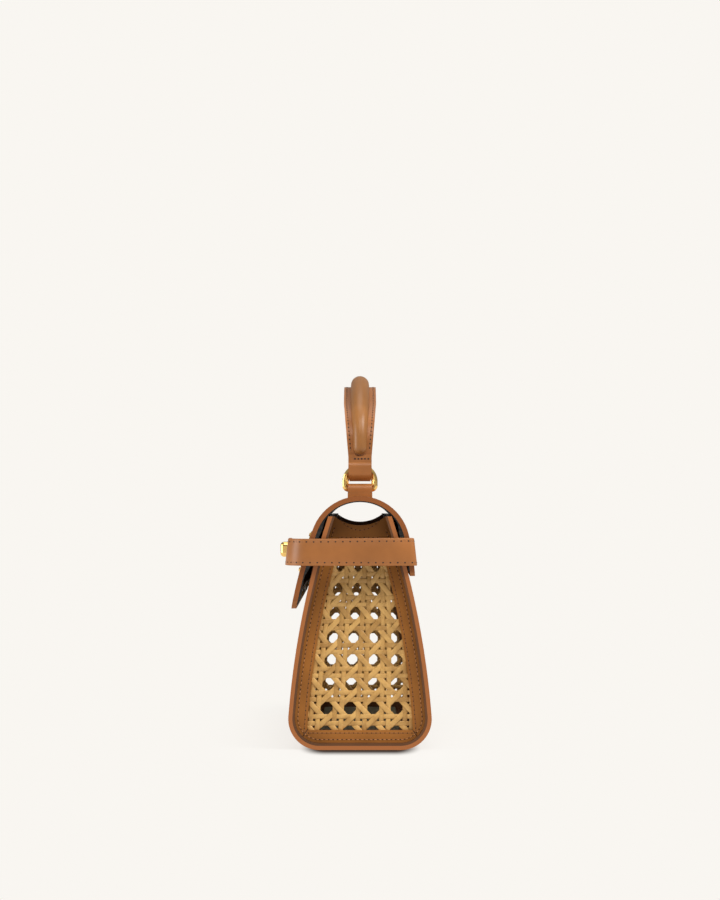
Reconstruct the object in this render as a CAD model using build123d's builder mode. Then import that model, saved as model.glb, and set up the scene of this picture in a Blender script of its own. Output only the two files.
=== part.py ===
from build123d import *
import os
from math import atan2, cos, degrees, hypot, radians, sin, sqrt

# Basket box bag. Millimetres. X runs along the bag, -Y is the front with the lock, +Z is up.
# The origin is the middle of the flat underside.

# Body
bag_length = 185.0
body_height = 124.6
base_width = 78.6
mouth_width = 34.0
side_bulge = 4.4
corner_radius = 16.5
outer_leather = 2.2
lining_leather = 1.2
board_thickness = 1.6
board_gap = 0.6

# Cane webbing
cane_thickness = 1.0
cane_pitch = 12.7
cane_gap = 6.4
cane_hidden_edge = 3.0

# Windows in the front and back walls
window_side_frame = 12.0
window_bottom = 13.5
window_head_band = 32.1
window_corner = 4.0

# Gussets
gusset_inset_bottom = 4.5
gusset_inset_top = 13.5
gusset_bow = 2.3
gusset_dip = 5.0
gusset_trim_width = 7.0
gusset_trim_bottom = 6.6
gusset_top_band = 8.0
trim_leather = 1.2
facing_leather = 0.9
gusset_cane_first_row = 9.0
gusset_cane_lean = 5.0
gusset_cane_narrowing = 0.4

# Lid
lid_leather = 2.6
lid_lining_thickness = 0.6
lid_rise = 10.8
lid_clearance = 0.223
lid_front_turn = 70.0
lid_back_turn = 76.0
flap_drop = 60.4
flap_standoff = 6.7
lid_back_drop = 42.8
lid_back_standoff = 3.25
flap_corner = 7.0
lid_back_corner = 3.0
seam_strip_rise = 3.4
seam_strip_width = 8.0
seam_strip_inset = 6.0

# Side straps
strap_thickness = 1.8
strap_width = 14.9
strap_drop = 37.1
strap_lean = 6.5
strap_side_gap = 2.7
strap_front_standoff = 9.0
strap_back_press = 0.1
strap_front_corner = 8.0
strap_back_corner = 4.0
strap_lap = 13.0
strap_back_length = 62.0
strap_end_corner = 5.5
strap_layer_gap = 1.2

# Turn lock
lock_drop = 1.15
lock_patch_length = 44.0
lock_patch_height = 26.0
lock_patch_leather = 1.4
lock_base_length = 22.0
lock_base_height = 12.0
lock_base_thickness = 1.2
lock_clearance = 0.35
post_length = 9.2
post_width = 4.4
slot_clearance = 0.5
post_proud = 0.7
flap_plate_width = 18.0
flap_plate_height = 26.0
flap_plate_thickness = 1.6
flap_plate_bevel = 0.6
flap_plate_corner = 6.0
collar_width = 1.6
collar_height = 1.2
screw_radius = 1.2
screw_head = 0.7
screw_taper = 20.0
screw_spacing = 21.0
strap_plate_length = 18.0
strap_plate_width = 10.6
strap_plate_thickness = 0.8
knob_length = 8.8
knob_width = 4.8
knob_thickness = 4.6
knob_dome = 2.2
knob_gap = 0.25
shaft_radius = 1.2
shaft_clearance = 0.15
shaft_depth = 6.0

# Rings, tabs and handle
ring_inset = 31.5
ring_width = 19.4
ring_height = 15.4
ring_wire = 2.8
wire_sides = 12
ring_corner = 1.9
ring_lift = 2.4
tab_width = 13.4
tab_length = 25.0
tab_leather = 1.4
tab_patch_leather = 2.6
tab_clearance = 0.25
handle_width = 18.0
handle_end_width = 12.8
handle_leather = 2.4
handle_rise = 63.1
handle_shoulder_rise = 27.6
handle_shoulder_radius = 20.0
handle_taper_foot_rise = 21.6
handle_taper_top_rise = 51.6
roll_radius = 5.2
roll_rise = 6.4
roll_sides = 24
roll_end_rise = 27.1
loop_leather = 1.3
loop_clearance = 0.9
loop_play = 0.4
loop_top_rise = 23.1

# Circle of the side walls, from the base corner to the mouth
base_half = base_width / 2
mouth_half = mouth_width / 2
wall_chord = hypot(base_half - mouth_half, body_height)
wall_radius = (wall_chord**2 / 4 + side_bulge**2) / (2 * side_bulge)
wall_centre_y = (base_half + mouth_half) / 2 - body_height / wall_chord * (wall_radius - side_bulge)
wall_centre_z = body_height / 2 - (base_half - mouth_half) / wall_chord * (wall_radius - side_bulge)
wall_thickness = outer_leather + lining_leather
half_length = bag_length / 2
ring_spread = half_length - ring_inset
window_top = body_height - window_head_band


def wall_half(height, inset):
    """Half the body's width at a height, measured to a surface that lies inset inside the wall."""
    return wall_centre_y + sqrt((wall_radius - inset) ** 2 - (height - wall_centre_z) ** 2)


# Heights over the body
lid_top = body_height + lid_rise
lid_wall = lid_leather + lid_lining_thickness
flap_end_height = lid_top - flap_drop
lid_back_height = lid_top - lid_back_drop
seam_strip_bottom = lid_back_height + seam_strip_rise
strap_bottom = lid_top - strap_drop
lock_height = strap_bottom + strap_width / 2 - lock_drop
handle_apex = lid_top + handle_rise
handle_shoulder_z = lid_top + handle_shoulder_rise
handle_taper_foot = lid_top + handle_taper_foot_rise
handle_taper_top = lid_top + handle_taper_top_rise
roll_end_height = lid_top + roll_end_rise
loop_top = lid_top + loop_top_rise

# Arch of the lid, wide enough to clear the top corners of the walls and the lock's base plate
lid_gap = lid_wall + lid_clearance
mouth_arch_radius = (mouth_half**2 + lid_rise**2 - lid_gap**2) / (2 * (lid_rise - lid_gap))
lock_base_top = lock_height + lock_base_height / 2
lock_base_reach = wall_half(lock_base_top, -lock_patch_leather - lock_base_thickness)
turn_sine = sin(radians(lid_front_turn))
turn_cosine = cos(radians(lid_front_turn))
lock_arch_room = lock_base_reach * turn_sine - (lid_top - lock_base_top) * turn_cosine
lock_arch_radius = (lock_arch_room + lid_wall + lock_clearance) / (1 - turn_cosine)
lid_radius = max(mouth_arch_radius, lock_arch_radius)
lid_centre_z = lid_top - lid_radius
lid_tall = 2 * lid_top


def body_section(inset, base_inset, top):
    """Outline of the body across its length, up to the height top."""
    middle = (base_inset + top) / 2
    with BuildSketch(Plane.YZ, mode=Mode.PRIVATE) as section:
        with BuildLine():
            floor = Line((-wall_half(base_inset, inset), base_inset), (wall_half(base_inset, inset), base_inset))
            ThreePointArc(floor @ 1, (wall_half(middle, inset), middle), (wall_half(top, inset), top))
            Line((wall_half(top, inset), top), (-wall_half(top, inset), top))
            ThreePointArc((-wall_half(top, inset), top), (-wall_half(middle, inset), middle), floor @ 0)
        make_face()
        fillet(section.vertices().group_by(Axis.Y)[0], radius=corner_radius - inset)
    return section.sketch_local


def wall_slab(outer_inset, inner_inset, length, bottom, top, corner, front):
    """A sheet that follows the front or back wall, between two depths in it, with round corners."""
    reach = base_half + outer_leather
    depth = reach if front else -reach
    with BuildPart(mode=Mode.PRIVATE) as slab:
        with BuildSketch(Plane.YZ):
            add(body_section(outer_inset, 0, body_height))
            add(body_section(inner_inset, 0, body_height), mode=Mode.SUBTRACT)
        extrude(amount=length, both=True)
        with BuildSketch(Plane.XZ):
            with Locations((0, (bottom + top) / 2)):
                RectangleRounded(length, top - bottom, corner)
        extrude(amount=depth, mode=Mode.INTERSECT)
    return slab.part


# Outer wrap of the front, base and back
window_length = bag_length - 2 * window_side_frame
cane_outer = outer_leather - cane_thickness
cane_sheet_length = window_length + 2 * cane_hidden_edge
cane_sheet_bottom = window_bottom - cane_hidden_edge
cane_sheet_top = window_top + cane_hidden_edge
cane_recesses = []
for front in (True, False):
    cane_recesses.append(
        wall_slab(
            cane_outer, outer_leather, cane_sheet_length,
            cane_sheet_bottom, cane_sheet_top, window_corner, front,
        )
    )

with BuildPart() as outer_wrap:
    with BuildSketch(Plane.YZ):
        add(body_section(0, 0, body_height))
        add(body_section(outer_leather, outer_leather, body_height), mode=Mode.SUBTRACT)
    extrude(amount=half_length, both=True)
    with BuildSketch(Plane.XZ):
        with Locations((0, (window_bottom + window_top) / 2)):
            RectangleRounded(window_length, window_top - window_bottom, window_corner)
    extrude(amount=base_width, both=True, mode=Mode.SUBTRACT)
    for recess in cane_recesses:
        add(recess, mode=Mode.SUBTRACT)

# Inner lining, which clamps the edges of the cane
with BuildPart() as wrap_lining:
    with BuildSketch(Plane.YZ):
        add(body_section(outer_leather, outer_leather, body_height))
        add(body_section(wall_thickness, wall_thickness, body_height), mode=Mode.SUBTRACT)
    extrude(amount=half_length, both=True)
    with BuildSketch(Plane.XZ):
        with Locations((0, (window_bottom + window_top) / 2)):
            RectangleRounded(window_length, window_top - window_bottom, window_corner)
    extrude(amount=base_width, both=True, mode=Mode.SUBTRACT)

# Cane panels of the front and back
cane_columns = int((window_length - cane_gap) / cane_pitch) + 1
cane_rows = int((window_top - window_bottom - cane_gap) / cane_pitch) + 1
cane_middle = (window_bottom + window_top) / 2
octagon_radius = cane_gap / 2 / cos(radians(22.5))


def wall_cane(front):
    """Cane sheet of one wall, with its rows of octagonal gaps."""
    depth = base_width if front else -base_width
    with BuildPart(mode=Mode.PRIVATE) as panel:
        add(cane_recesses[0] if front else cane_recesses[1])
        with BuildSketch(Plane.XZ):
            with Locations((0, cane_middle)):
                with GridLocations(cane_pitch, cane_pitch, cane_columns, cane_rows):
                    RegularPolygon(octagon_radius, 8, rotation=22.5)
        extrude(amount=depth, mode=Mode.SUBTRACT)
    return panel.part


with BuildPart() as front_cane:
    add(wall_cane(True))

with BuildPart() as back_cane:
    add(wall_cane(False))

# Gussets, bowed towards the inside as they rise
gusset_foot_x = half_length - gusset_inset_bottom
gusset_head_x = half_length - gusset_inset_top
gusset_chord = hypot(gusset_foot_x - gusset_head_x, body_height)
gusset_radius = (gusset_chord**2 / 4 + gusset_bow**2) / (2 * gusset_bow)
gusset_lean = atan2(gusset_foot_x - gusset_head_x, body_height)
gusset_centre_x = (gusset_foot_x + gusset_head_x) / 2 - cos(gusset_lean) * (gusset_radius - gusset_bow)
gusset_centre_z = body_height / 2 - sin(gusset_lean) * (gusset_radius - gusset_bow)
gusset_top_side = body_height - 0.4
gusset_top_middle = body_height - gusset_dip
gusset_window_top = gusset_top_middle - gusset_top_band
gusset_window_bottom = wall_thickness + gusset_trim_bottom


def gusset_x(height, depth):
    """Distance of a gusset surface from the middle of the bag, depth below its outer face."""
    return gusset_centre_x + sqrt((gusset_radius - depth) ** 2 - (height - gusset_centre_z) ** 2)


def gusset_outline(margin):
    """Outline of a gusset seen from the side, with its dipped top, margin inside the walls."""
    inset = wall_thickness + margin
    middle = body_height / 2
    top = gusset_top_side - margin
    with BuildSketch(Plane.YZ, mode=Mode.PRIVATE) as outline:
        with BuildLine():
            floor = Line((-wall_half(inset, inset), inset), (wall_half(inset, inset), inset))
            ThreePointArc(floor @ 1, (wall_half(middle, inset), middle), (wall_half(top, inset), top))
            ThreePointArc(
                (wall_half(top, inset), top), (0, gusset_top_middle - margin), (-wall_half(top, inset), top)
            )
            ThreePointArc((-wall_half(top, inset), top), (-wall_half(middle, inset), middle), floor @ 0)
        make_face()
        fillet(outline.vertices().group_by(Axis.Y)[0], radius=corner_radius - inset)
    return outline.sketch_local


def gusset_window():
    """Opening of the trim frame: sides parallel to the walls, flat foot and head."""
    inset = wall_thickness + gusset_trim_width
    middle = (gusset_window_bottom + gusset_window_top) / 2
    foot = wall_half(gusset_window_bottom, inset)
    head = wall_half(gusset_window_top, inset)
    with BuildSketch(Plane.YZ, mode=Mode.PRIVATE) as window:
        with BuildLine():
            Line((-foot, gusset_window_bottom), (foot, gusset_window_bottom))
            ThreePointArc(
                (foot, gusset_window_bottom), (wall_half(middle, inset), middle), (head, gusset_window_top)
            )
            Line((head, gusset_window_top), (-head, gusset_window_top))
            ThreePointArc(
                (-head, gusset_window_top), (-wall_half(middle, inset), middle), (-foot, gusset_window_bottom)
            )
        make_face()
    return window.sketch_local


def gusset_layer(outline, depth, thickness, side):
    """A sheet with the gusset's bow, between two depths, cut to an outline."""
    low = 0.0
    high = body_height
    middle = body_height / 2
    deep = depth + thickness
    with BuildPart(mode=Mode.PRIVATE) as layer:
        with BuildSketch(Plane.XZ):
            with BuildLine():
                outer = ThreePointArc(
                    (side * gusset_x(low, depth), low),
                    (side * gusset_x(middle, depth), middle),
                    (side * gusset_x(high, depth), high),
                )
                inner = ThreePointArc(
                    (side * gusset_x(low, deep), low),
                    (side * gusset_x(middle, deep), middle),
                    (side * gusset_x(high, deep), high),
                )
                Line(outer @ 0, inner @ 0)
                Line(outer @ 1, inner @ 1)
            make_face()
        extrude(amount=base_width, both=True)
        with BuildSketch(Plane.YZ):
            add(outline)
        extrude(amount=half_length * side, mode=Mode.INTERSECT)
    return layer.part


facing_depth = trim_leather + cane_thickness
gusset_frames = {}
gusset_canes = {}
gusset_facings = {}
for side_name, side in (("right", 1), ("left", -1)):
    with BuildPart() as frame:
        add(gusset_layer(gusset_outline(0), 0, trim_leather, side))
        with BuildSketch(Plane.YZ):
            add(gusset_window())
        extrude(amount=half_length * side, mode=Mode.SUBTRACT)
    gusset_frames[side_name] = frame

    with BuildPart() as cane:
        add(gusset_layer(gusset_outline(0), trim_leather, cane_thickness, side))
        with BuildSketch(Plane.YZ):
            row = 0
            while gusset_cane_first_row + row * cane_pitch < gusset_window_top:
                height = gusset_cane_first_row + row * cane_pitch
                share = height / body_height
                spacing = cane_pitch * (1 - gusset_cane_narrowing * share**2)
                room = wall_half(height, wall_thickness + gusset_trim_width)
                for column in range(4):
                    across = gusset_cane_lean * share + (column - 1.5) * spacing
                    if abs(across) + cane_gap / 4 < room:
                        with Locations((across, height)):
                            RegularPolygon(octagon_radius, 8, rotation=22.5)
                row += 1
            add(gusset_window(), mode=Mode.INTERSECT)
        extrude(amount=half_length * side, mode=Mode.SUBTRACT)
    gusset_canes[side_name] = cane

    with BuildPart() as facing:
        add(gusset_layer(gusset_outline(0), facing_depth, facing_leather, side))
        with BuildSketch(Plane.YZ):
            add(gusset_window())
        extrude(amount=half_length * side, mode=Mode.SUBTRACT)
    gusset_facings[side_name] = facing

# Stiff board that lies on the bottom
board_edge = gusset_x(wall_thickness, facing_depth + facing_leather) - board_gap
board_half = wall_half(corner_radius, wall_thickness) - corner_radius + wall_thickness
with BuildPart() as base_board:
    with BuildSketch(Plane.XY.offset(wall_thickness)):
        RectangleRounded(2 * board_edge, 2 * board_half, 3.0)
    extrude(amount=board_thickness)

# Lid: an arch with a flap at the front and a short skirt at the back
flap_end_reach = wall_half(flap_end_height, 0) + flap_standoff
lid_back_reach = wall_half(lid_back_height, 0) + lid_back_standoff


def circle_towards(centre, radius, target):
    """Point of a circle that faces a target."""
    reach = hypot(target[0] - centre[0], target[1] - centre[1])
    return (
        centre[0] + radius * (target[0] - centre[0]) / reach,
        centre[1] + radius * (target[1] - centre[1]) / reach,
    )


def lid_side_circle(side, turn, end):
    """Centre and radius of the arc that leaves the arch smoothly and ends at a point."""
    inward = (-side * sin(radians(turn)), -cos(radians(turn)))
    start = (-inward[0] * lid_radius, lid_centre_z - inward[1] * lid_radius)
    gap = (end[0] - start[0], end[1] - start[1])
    radius = (gap[0] ** 2 + gap[1] ** 2) / (2 * (gap[0] * inward[0] + gap[1] * inward[1]))
    return (start[0] + radius * inward[0], start[1] + radius * inward[1]), radius


flap_end = (-flap_end_reach, flap_end_height)
lid_back_end = (lid_back_reach, lid_back_height)
flap_centre, flap_radius = lid_side_circle(-1, lid_front_turn, flap_end)
skirt_centre, skirt_radius = lid_side_circle(1, lid_back_turn, lid_back_end)


def lid_points(depth):
    """Ends and middles of the three arcs of the lid, depth below its outer surface."""
    arch = (0, lid_centre_z)
    radius = lid_radius - depth
    front = radians(90 + lid_front_turn)
    back = radians(90 - lid_back_turn)
    front_spring = (radius * cos(front), lid_centre_z + radius * sin(front))
    back_spring = (radius * cos(back), lid_centre_z + radius * sin(back))
    front_foot = circle_towards(flap_centre, flap_radius - depth, flap_end)
    back_foot = circle_towards(skirt_centre, skirt_radius - depth, lid_back_end)
    front_half = ((front_spring[0] + front_foot[0]) / 2, (front_spring[1] + front_foot[1]) / 2)
    back_half = ((back_spring[0] + back_foot[0]) / 2, (back_spring[1] + back_foot[1]) / 2)
    front_middle = circle_towards(flap_centre, flap_radius - depth, front_half)
    back_middle = circle_towards(skirt_centre, skirt_radius - depth, back_half)
    crown = (arch[0], arch[1] + radius)
    return front_foot, front_middle, front_spring, crown, back_spring, back_middle, back_foot


def lid_arcs(depth):
    """Draws the three arcs of the lid and gives the two ends."""
    points = lid_points(depth)
    ThreePointArc(points[0], points[1], points[2])
    ThreePointArc(points[2], points[3], points[4])
    ThreePointArc(points[4], points[5], points[6])
    return points[0], points[6]


def lid_band(depth, thickness):
    """Section of one layer of the lid."""
    with BuildSketch(mode=Mode.PRIVATE) as band:
        with BuildLine():
            outer_front, outer_back = lid_arcs(depth)
            inner_front, inner_back = lid_arcs(depth + thickness)
            Line(outer_front, inner_front)
            Line(outer_back, inner_back)
        make_face()
    return band.sketch_local


def lid_inside(depth):
    """Everything inside a surface of the lid, down to the floor."""
    with BuildSketch(mode=Mode.PRIVATE) as inside:
        with BuildLine():
            front, back = lid_arcs(depth)
            Polyline(front, (front[0], 0), (back[0], 0), back)
        make_face()
    return inside.sketch_local


with BuildPart(mode=Mode.PRIVATE) as lid_limits:
    with BuildSketch(Plane.XZ):
        with Locations((0, flap_end_height + lid_tall / 2)):
            RectangleRounded(bag_length, lid_tall, flap_corner)
    extrude(amount=base_width)
    with BuildSketch(Plane.XZ):
        with Locations((0, lid_back_height + lid_tall / 2)):
            RectangleRounded(bag_length, lid_tall, lid_back_corner)
    extrude(amount=-base_width)

with BuildPart(mode=Mode.PRIVATE) as post_slot:
    with BuildSketch(Plane.XZ):
        with Locations((0, lock_height)):
            SlotOverall(post_length + 2 * slot_clearance, post_width + 2 * slot_clearance)
    extrude(amount=base_width)

with BuildPart() as lid:
    with BuildSketch(Plane.YZ):
        add(lid_band(0, lid_leather))
    extrude(amount=half_length, both=True)
    add(lid_limits.part, mode=Mode.INTERSECT)
    add(post_slot.part, mode=Mode.SUBTRACT)

with BuildPart() as lid_lining:
    with BuildSketch(Plane.YZ):
        add(lid_band(lid_leather, lid_lining_thickness))
    extrude(amount=half_length, both=True)
    add(lid_limits.part, mode=Mode.INTERSECT)
    add(post_slot.part, mode=Mode.SUBTRACT)

# Strip that joins the lid to the back wall
with BuildPart() as lid_seam_strip:
    with BuildSketch(Plane.YZ):
        with Locations((base_half / 2, seam_strip_bottom + seam_strip_width / 2)):
            Rectangle(base_half, seam_strip_width)
        add(body_section(0, 0, body_height), mode=Mode.SUBTRACT)
        add(lid_inside(lid_wall), mode=Mode.INTERSECT)
    extrude(amount=half_length - seam_strip_inset, both=True)

# Straps round both sides, leaning with the bag
strap_side_reach = half_length + strap_side_gap + strap_thickness
flap_at_strap = sqrt(flap_radius**2 - (strap_bottom - flap_centre[1]) ** 2) - flap_centre[0]
skirt_at_strap = sqrt(skirt_radius**2 - (strap_bottom - skirt_centre[1]) ** 2) + skirt_centre[0]
strap_front_reach = flap_at_strap + strap_front_standoff
strap_back_reach = skirt_at_strap + strap_thickness - strap_back_press


def strap_block(growth, front_reach):
    """Block that fills the belt to its outer face, plus growth, and narrows as it rises."""
    front = front_reach + growth
    back = strap_back_reach + growth
    with BuildPart(mode=Mode.PRIVATE) as block:
        with BuildSketch(Plane.XY.offset(strap_bottom)) as plan:
            with Locations((0, (back - front) / 2)):
                Rectangle(2 * (strap_side_reach + growth), front + back)
            fillet(plan.vertices().group_by(Axis.Y)[0], radius=strap_front_corner + growth)
            fillet(plan.vertices().group_by(Axis.Y)[-1], radius=strap_back_corner + growth)
        extrude(amount=strap_width, taper=strap_lean)
    return block.part


def strap_end_waste(end, front):
    """What is cut off a strap past its rounded end, on the front or the back."""
    depth = base_width if front else -base_width
    room = 2 * strap_side_reach
    with BuildPart(mode=Mode.PRIVATE) as waste:
        with BuildSketch(Plane.XZ):
            with Locations((end - room / 2 + strap_end_corner, strap_bottom + strap_width / 2)):
                Rectangle(room, 2 * strap_width)
            with Locations((end + room / 2, strap_bottom + strap_width / 2)):
                RectangleRounded(room, strap_width, strap_end_corner, mode=Mode.SUBTRACT)
        extrude(amount=depth)
    return waste.part


def strap_band(front_reach):
    """One strap, on the right: lapped past the lock at the front, sewn to the lid at the back."""
    with BuildPart(mode=Mode.PRIVATE) as band:
        add(strap_block(0, front_reach))
        add(strap_block(-strap_thickness, front_reach), mode=Mode.SUBTRACT)
        add(strap_end_waste(-strap_lap, True), mode=Mode.SUBTRACT)
        add(strap_end_waste(half_length - strap_back_length, False), mode=Mode.SUBTRACT)
        add(post_slot.part, mode=Mode.SUBTRACT)
        add(lid.part, mode=Mode.SUBTRACT)
    return band.part


def strap_end_plate(front_reach):
    """Slotted metal plate on the outer face of a strap's end."""
    with BuildPart(mode=Mode.PRIVATE) as plate:
        add(strap_block(strap_plate_thickness, front_reach))
        add(strap_block(0, front_reach), mode=Mode.SUBTRACT)
        with BuildSketch(Plane.XZ):
            with Locations((0, lock_height)):
                SlotOverall(strap_plate_length, strap_plate_width)
        extrude(amount=base_width, mode=Mode.INTERSECT)
        add(post_slot.part, mode=Mode.SUBTRACT)
    return plate.part


under_reach = strap_front_reach - strap_thickness - strap_layer_gap
with BuildPart() as strap_right:
    add(strap_band(strap_front_reach))

with BuildPart() as strap_left:
    add(strap_band(under_reach).mirror(Plane.YZ))

with BuildPart() as strap_plate_right:
    add(strap_end_plate(strap_front_reach))

with BuildPart() as strap_plate_left:
    add(strap_end_plate(under_reach))

# Turn lock: patch and base plate on the front wall, plate on the flap, turning knob
post_tip = (
    strap_front_reach
    - (lock_height - strap_bottom) * sin(radians(strap_lean)) / cos(radians(strap_lean))
    + strap_plate_thickness
    + post_proud
)

with BuildPart() as lock_patch:
    add(
        wall_slab(
            -lock_patch_leather, 0, lock_patch_length,
            lock_height - lock_patch_height / 2, lock_height + lock_patch_height / 2, window_corner, True,
        )
    )

with BuildPart() as lock_base:
    add(
        wall_slab(
            -lock_patch_leather - lock_base_thickness, -lock_patch_leather, lock_base_length,
            lock_height - lock_base_height / 2, lock_height + lock_base_height / 2, window_corner, True,
        )
    )
    with BuildSketch(Plane.XZ.offset(wall_half(lock_height, 0))):
        with Locations((0, lock_height)):
            SlotOverall(post_length, post_width)
    extrude(amount=post_tip - wall_half(lock_height, 0))
    with BuildSketch(Plane.YZ):
        add(body_section(-lock_patch_leather, 0, body_height))
    extrude(amount=post_length, both=True, mode=Mode.SUBTRACT)
    with BuildSketch(Plane.XZ.offset(post_tip)):
        with Locations((0, lock_height)):
            Circle(shaft_radius + shaft_clearance)
    extrude(amount=-shaft_depth - knob_gap, mode=Mode.SUBTRACT)

flap_face = circle_towards(flap_centre, flap_radius, (-flap_end_reach, lock_height))
flap_face_normal = ((flap_face[0] - flap_centre[0]) / flap_radius, (flap_face[1] - flap_centre[1]) / flap_radius)
flap_plane = Plane(
    origin=(0, flap_face[0], flap_face[1]), x_dir=(1, 0, 0), z_dir=(0, flap_face_normal[0], flap_face_normal[1])
)
flap_axis = Axis(flap_plane.origin, flap_plane.z_dir)
flap_seat = flap_plate_height**2 / (8 * flap_radius) + flap_plate_bevel
collar_shift = (lock_height - flap_face[1]) / cos(atan2(flap_face_normal[1], -flap_face_normal[0]))

with BuildPart() as flap_plate:
    with BuildSketch(flap_plane):
        RectangleRounded(flap_plate_width, flap_plate_height, flap_plate_corner)
    extrude(amount=flap_plate_thickness)
    chamfer(flap_plate.faces().sort_by(flap_axis)[-1].edges(), flap_plate_bevel)
    with BuildSketch(flap_plane):
        with Locations((0, collar_shift)):
            SlotOverall(
                post_length + 2 * slot_clearance + 2 * collar_width,
                post_width + 2 * slot_clearance + 2 * collar_width,
            )
    extrude(amount=flap_plate_thickness + collar_height)
    with BuildSketch(flap_plane):
        RectangleRounded(flap_plate_width, flap_plate_height, flap_plate_corner)
    extrude(amount=-flap_seat)
    add(lid.part, mode=Mode.SUBTRACT)
    with BuildSketch(Plane.YZ):
        add(lid_inside(0))
    extrude(amount=flap_plate_width, both=True, mode=Mode.SUBTRACT)
    add(post_slot.part, mode=Mode.SUBTRACT)

with BuildPart() as flap_plate_screws:
    with BuildSketch(flap_plane.offset(flap_plate_thickness)):
        with Locations((0, -screw_spacing / 2), (0, screw_spacing / 2)):
            Circle(screw_radius)
    extrude(amount=screw_head, taper=screw_taper)
    add(flap_plate.part, mode=Mode.SUBTRACT)

with BuildPart() as lock_knob:
    with BuildSketch(Plane.XZ.offset(post_tip + knob_gap)):
        with Locations((0, lock_height)):
            SlotOverall(knob_length, knob_width, rotation=90)
    extrude(amount=knob_thickness)
    fillet(lock_knob.faces().sort_by(Axis.Y)[0].edges(), radius=knob_dome)
    with BuildSketch(Plane.XZ.offset(post_tip + knob_gap)):
        with Locations((0, lock_height)):
            Circle(shaft_radius)
    extrude(amount=-shaft_depth)

# Rings, with a straight bar below and a round top
wire_radius = ring_wire / 2
ring_bar_z = lid_top + ring_lift + wire_radius
ring_half = ring_width / 2 - wire_radius
ring_top_z = ring_bar_z + ring_height - ring_wire
ring_round_z = ring_top_z - ring_half
ring_corner_y = ring_half - ring_corner
ring_corner_z = ring_bar_z + ring_corner
eighth = sin(radians(45))
rings = {}
for side_name, side in (("right", 1), ("left", -1)):
    with BuildPart() as ring:
        with BuildLine(Plane.YZ.offset(side * ring_spread)) as path:
            Line((0, ring_bar_z), (ring_corner_y, ring_bar_z))
            ThreePointArc(
                (ring_corner_y, ring_bar_z),
                (ring_corner_y + ring_corner * eighth, ring_corner_z - ring_corner * eighth),
                (ring_half, ring_corner_z),
            )
            Line((ring_half, ring_corner_z), (ring_half, ring_round_z))
            ThreePointArc(
                (ring_half, ring_round_z),
                (ring_half * eighth, ring_round_z + ring_half * eighth),
                (0, ring_top_z),
            )
        with BuildSketch(Plane.XZ):
            with Locations((side * ring_spread, ring_bar_z)):
                RegularPolygon(wire_radius, wire_sides)
        sweep(path=path.wire())
        mirror(about=Plane.XZ)
    rings[side_name] = ring

# Tabs that hold the rings on the lid
tabs = {}
loop_radius = wire_radius + tab_clearance + tab_leather
for side_name, side in (("right", 1), ("left", -1)):
    with BuildPart() as tab:
        with BuildSketch(Plane.YZ.offset(side * ring_spread)):
            with Locations((0, lid_centre_z)):
                Circle(lid_radius + tab_patch_leather)
            with Locations((0, lid_top)):
                Rectangle(tab_width, lid_radius, mode=Mode.INTERSECT)
        extrude(amount=tab_length / 2, both=True)
        with BuildSketch(Plane.XZ):
            with Locations((side * ring_spread, ring_bar_z)):
                Circle(loop_radius)
            with Locations((side * ring_spread, lid_top + ring_lift / 2)):
                Rectangle(2 * loop_radius, ring_lift + ring_wire)
        extrude(amount=tab_width / 2, both=True)
        with BuildSketch(Plane.XZ):
            with Locations((side * ring_spread, ring_bar_z)):
                Circle(wire_radius + tab_clearance)
        extrude(amount=tab_width, both=True, mode=Mode.SUBTRACT)
        with BuildSketch(Plane.YZ):
            with Locations((0, lid_centre_z)):
                Circle(lid_radius)
        extrude(amount=half_length, both=True, mode=Mode.SUBTRACT)
    tabs[side_name] = tab

# Handle: a basket arch of flat leather with a roll on it
handle_middle_z = handle_apex - handle_leather / 2
crown_share = (handle_middle_z - handle_shoulder_z - handle_shoulder_radius) / (ring_spread - handle_shoulder_radius)
shoulder_turn = 90 - 2 * degrees(atan2(crown_share, 1))


def handle_arch(growth, foot):
    """Line of the handle seen from the front, moved outwards by growth, with its feet at a height."""
    span = ring_spread + growth
    shoulder = handle_shoulder_radius + growth
    hub_x = ring_spread - handle_shoulder_radius
    turn = radians(shoulder_turn)
    half_turn = turn / 2
    join = (hub_x + shoulder * cos(turn), handle_shoulder_z + shoulder * sin(turn))
    bend = (hub_x + shoulder * cos(half_turn), handle_shoulder_z + shoulder * sin(half_turn))
    Line((span, foot), (span, handle_shoulder_z))
    ThreePointArc((span, handle_shoulder_z), bend, join)
    ThreePointArc(join, (0, handle_middle_z + growth), (-join[0], join[1]))
    ThreePointArc((-join[0], join[1]), (-bend[0], bend[1]), (-span, handle_shoulder_z))
    Line((-span, handle_shoulder_z), (-span, foot))


opening_half = ring_wire / 2 + loop_clearance
opening_top = ring_top_z + wire_radius + loop_play
opening_bottom = ring_round_z + sqrt((ring_half - wire_radius) ** 2 - (handle_end_width / 2) ** 2) - loop_play
with BuildPart() as handle_strip:
    with BuildSketch(Plane.XZ):
        with BuildLine():
            handle_arch(handle_leather / 2, opening_top)
            handle_arch(-handle_leather / 2, opening_top)
            for side in (1, -1):
                Line(
                    (side * (ring_spread + handle_leather / 2), opening_top),
                    (side * (ring_spread - handle_leather / 2), opening_top),
                )
        make_face()
    extrude(amount=handle_width / 2, both=True)
    with BuildSketch(Plane.YZ):
        with BuildLine():
            Polyline(
                (-handle_end_width / 2, opening_bottom),
                (-handle_end_width / 2, handle_taper_foot),
                (-handle_width / 2, handle_taper_top),
                (-handle_width / 2, 2 * handle_apex),
                (handle_width / 2, 2 * handle_apex),
                (handle_width / 2, handle_taper_top),
                (handle_end_width / 2, handle_taper_foot),
                (handle_end_width / 2, opening_bottom),
                close=True,
            )
        make_face()
    extrude(amount=2 * ring_spread, both=True, mode=Mode.INTERSECT)

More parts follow.
